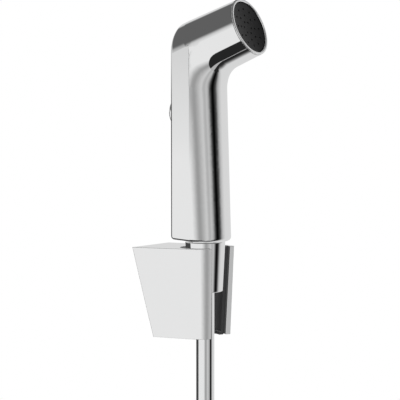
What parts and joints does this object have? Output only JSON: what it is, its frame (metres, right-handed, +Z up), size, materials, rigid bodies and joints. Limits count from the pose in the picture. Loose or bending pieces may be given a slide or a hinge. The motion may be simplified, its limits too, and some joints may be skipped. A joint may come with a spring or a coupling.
{
  "type": "handheld bidet shower",
  "caption": "Chrome handheld bidet shower with an angled round head, a thumb button, a smooth silver hose and a slotted wall holder.",
  "frame": {"origin": "centre of the holder's wall face, midway between its two screw holes", "axes": "+Y into the wall, +X to the right seen from the front, +Z up"},
  "size_m": [0.1371, 0.1066, 0.3706],
  "materials": {
    "chrome": "polished",
    "spray_grey": "satin moulded",
    "liner_black": "matt moulded",
    "hose_silver": "smooth silver",
    "inner_plastic": "satin moulded",
    "seal_rubber": "matt",
    "steel": "drawn",
    "brass": "turned",
    "tie_plastic": "matt moulded"
  },
  "bodies": {
    "holder": {"holder_shell": "chrome", "socket_liner": "liner_black", "wall_plate": "inner_plastic", "lock_screw": "steel", "hose_insert": "brass", "hose_ferrule": "brass", "hose": "hose_silver", "hose_coil": "hose_silver", "upper_tie": "tie_plastic", "lower_tie": "tie_plastic", "supply_ferrule": "chrome", "supply_insert": "brass", "supply_washer": "seal_rubber"},
    "handset": {"handset_body": "chrome", "face_ring": "chrome", "spray_plate": "spray_grey", "plate_seal": "seal_rubber", "head_chamber": "inner_plastic", "flow_diffuser": "inner_plastic", "head_tube": "inner_plastic", "riser_tube": "inner_plastic", "valve_housing": "inner_plastic", "button_spring": "steel", "valve_gland": "brass", "stem_seal": "seal_rubber", "button_collar": "chrome", "inlet_connector": "chrome", "check_valve_body": "inner_plastic", "check_valve_spring": "steel", "inlet_washer": "seal_rubber", "hose_nut": "chrome"},
    "button": {"thumb_button": "chrome", "valve_piston": "brass"},
    "check_valve": {"check_valve_poppet": "inner_plastic"},
    "supply_end": {"supply_nut": "chrome"}
  },
  "joints": [
    {"name": "handset_swivel", "type": "hinge", "parent": "holder", "child": "handset", "pos_m": [0, -0.04168, 0.02362], "axis": [0, -0.2588, 0.9659], "continuous": true},
    {"name": "button_press", "type": "slide", "parent": "handset", "child": "button", "axis": [0, -0.9659, -0.2588], "range_m": [0, 0.003], "stiffness_N_per_m": 600, "springref_m": -0.004, "deforming": ["button_spring"]},
    {"name": "check_valve_lift", "type": "slide", "parent": "handset", "child": "check_valve", "axis": [0, -0.2588, 0.9659], "range_m": [0, 0.002], "stiffness_N_per_m": 60, "springref_m": -0.002, "deforming": ["check_valve_spring"]},
    {"name": "supply_nut_spin", "type": "hinge", "parent": "holder", "child": "supply_end", "pos_m": [0, -0.04664, -0.208], "axis": [0, 0, 1], "continuous": true}
  ]
}
